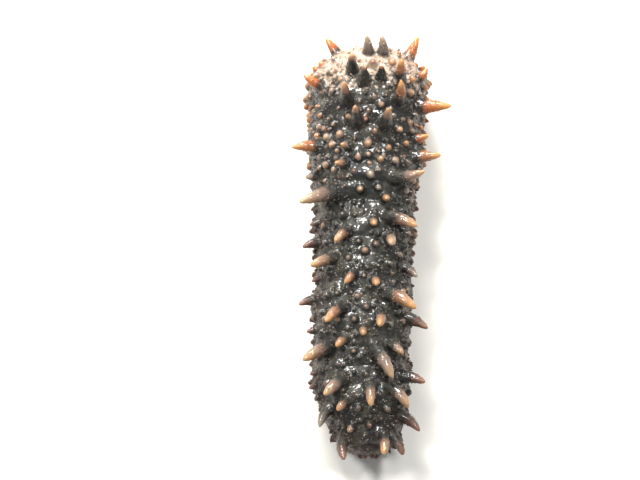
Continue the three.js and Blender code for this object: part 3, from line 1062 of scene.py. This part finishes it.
# Colours half way up a papilla or wart and at its tip, from dusky growths to warm ones
HALF_WAY = (
    (0.0, (0.04, 0.025, 0.022)),
    (0.2, (0.11, 0.055, 0.038)),
    (0.32, (0.1, 0.08, 0.065)),
    (0.45, (0.165, 0.12, 0.095)),
    (0.65, (0.195, 0.12, 0.08)),
    (0.85, (0.26, 0.105, 0.045)),
    (1.0, (0.35, 0.105, 0.03)),
)
TIPS = (
    (0.0, (0.11, 0.06, 0.05)),
    (0.2, (0.28, 0.145, 0.09)),
    (0.32, (0.32, 0.27, 0.2)),
    (0.45, (0.38, 0.27, 0.165)),
    (0.65, (0.45, 0.245, 0.11)),
    (0.85, (0.54, 0.26, 0.09)),
    (1.0, (0.57, 0.235, 0.065)),
)


def skin_ground(finish, mottle):
    """The skin's colour: near black to olive, brown low on the flanks, a pale flesh colour on top of
    the broad end that is partly its own and partly painted light, brown lips, and painted shade in
    the pits"""
    patches = finish.grain(0.16, detail=3)
    at_front = finish.step(finish.along("Y"), *BROAD_END_ZONE)
    ground = finish.mix(finish.step(mottle * 0.6 + patches * 0.5, *OLIVE_ZONE), NEAR_BLACK, OLIVE)
    low_down = 1 - finish.step(finish.along("Z"), *FLANK_ZONE)
    ground = finish.mix(low_down * MOST_FLANK_BROWN, ground, FLANK_BROWN)
    # Painted light: the pale flesh colour is held mostly to the top of the broad end, where the light
    # falls brightest
    painted_top_light = 0.1 + 0.9 * finish.step(finish.along("Z"), *PAINTED_TOP_LIGHT_ZONE)
    spread = finish.grain(0.9, detail=3) + BROAD_END_CREAM_AND_LIGHT * at_front
    cream_and_light = finish.step(spread, *CREAM_AND_LIGHT_ZONE) * painted_top_light * MOST_CREAM_AND_LIGHT
    ground = finish.mix(cream_and_light * (1 - finish.attribute("on_papilla")), ground, CREAM_AND_PAINTED_LIGHT)
    ground = finish.mix(finish.attribute("lips"), ground, LIP_BROWN)
    # Painted shade in the pits of mouth and anus
    return finish.mix(finish.attribute("pit"), ground, PAINTED_PIT_SHADE)


def wet_skin():
    finish = Finish("wet_skin")
    mottle = finish.grain(0.7, detail=3)
    speckle = finish.grain(2.6, detail=2)
    warmth = finish.attribute("warmth")
    pale = finish.attribute("paleness") + (speckle - 0.5) * PALENESS_BLUR
    ground = skin_ground(finish, mottle)
    flesh = finish.mix(finish.step(pale, *HALF_WAY_ZONE), ground, finish.ramp(HALF_WAY, warmth))
    flesh = finish.mix(finish.step(pale, *TIP_ZONE), flesh, finish.ramp(TIPS, warmth))
    relief = speckle * 0.6 + finish.grain(5.5, detail=3) * 0.4
    return finish.close(**{
        "Base Color": flesh,
        "Roughness": 0.36 + 0.16 * mottle,
        "Normal": finish.node(
            "ShaderNodeBump", {}, {"Strength": 0.5, "Distance": 0.2 * MM, "Height": relief}
        ),
        "Coat Weight": 0.1 + 0.6 * finish.step(finish.along("Z"), *WET_HEIGHT_ZONE),
        "Coat Roughness": 0.11,
        "Specular IOR Level": 0.25,
        "Subsurface Weight": 0.05,
        "Subsurface Radius": (1.0, 0.35, 0.15),
        "Subsurface Scale": 1.0 * MM,
    })


def pale_floor():
    finish = Finish("pale_floor")
    return finish.close(**{"Base Color": (0.84, 0.82, 0.76, 1), "Roughness": 0.5})


# Studio and camera. Places and sizes of lights are in metres, and a light's power in watts.
FLOOR_SIZE = 3
SKY_COLOUR = (0.95, 0.97, 1, 1)
SKY_STRENGTH = 0.34
WINDOW_COLOUR = (1, 0.98, 0.95)
WINDOW_SIZE = (0.22, 0.16)
WINDOW_POWER = 6.0
LAMP_SIZE = (0.1, 0.08)
LAMP_POWER = 1.7


def area_light(name, place, aim, size, power, tint=(1, 1, 1)):
    data = bpy.data.lights.new(name, "AREA")
    data.shape = "RECTANGLE"
    data.size, data.size_y = size
    data.energy = power
    data.color = tint
    light = bpy.data.objects.new(name, data)
    light.location = place
    light.rotation_euler = (Vector(aim) - Vector(place)).to_track_quat("-Z", "Y").to_euler()
    bpy.context.collection.objects.link(light)


def studio():
    deselect_all()
    bpy.ops.mesh.primitive_plane_add(size=FLOOR_SIZE, location=(0, 0, 0))
    floor = bpy.context.active_object
    floor.name = "floor"
    floor.data.materials.append(pale_floor())
    world = bpy.data.worlds.new("studio")
    world.use_nodes = True
    sky = world.node_tree.nodes["Background"]
    sky.inputs["Color"].default_value = SKY_COLOUR
    sky.inputs["Strength"].default_value = SKY_STRENGTH
    bpy.context.scene.world = world
    window_aim, lamp_aim = (0, 0.02, 0.01), (0, 0, 0.01)
    area_light("window", (-0.12, 0.45, 0.36), window_aim, WINDOW_SIZE, WINDOW_POWER, WINDOW_COLOUR)
    area_light("left lamp", (-0.24, 0.1, 0.48), lamp_aim, LAMP_SIZE, LAMP_POWER)
    area_light("right lamp", (0.17, 0.13, 0.52), lamp_aim, LAMP_SIZE, LAMP_POWER)
    bpy.context.scene.view_settings.view_transform = "Standard"


# The camera: distance and aim in millimetres, tilt off straight down in degrees
CAMERA_DISTANCE = 410
CAMERA_TILT = 12.7
CAMERA_AIM = np.array([-13.7, 2.0, 13.0]) + ORIGIN_SHIFT
CAMERA_LENS = 84.0
SENSOR_WIDTH = 36


def photo_camera():
    data = bpy.data.cameras.new("camera")
    data.lens = CAMERA_LENS
    data.sensor_width = SENSOR_WIDTH
    data.clip_start = 0.01
    camera = bpy.data.objects.new("camera", data)
    tilt = CAMERA_TILT * DEGREES
    back = np.array([0, -math.sin(tilt), math.cos(tilt)]) * CAMERA_DISTANCE
    camera.location = (CAMERA_AIM + back) * MM
    camera.rotation_euler = (tilt, 0, 0)
    bpy.context.collection.objects.link(camera)
    bpy.context.scene.camera = camera


photo_camera()
studio()
skin = skin_piece()
mark_growths(skin)
mark_puckers(skin)
lay_out(skin)
pebbles = pebble_piece(skin)
wet = wet_skin()
for piece in (skin, pebbles):
    piece.data.materials.clear()
    piece.data.materials.append(wet)
    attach(piece, "root")
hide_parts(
    "oral_end", "trunk_front", "trunk_middle", "trunk_rear", "anal_end", "sole", "mouth", "anus"
)
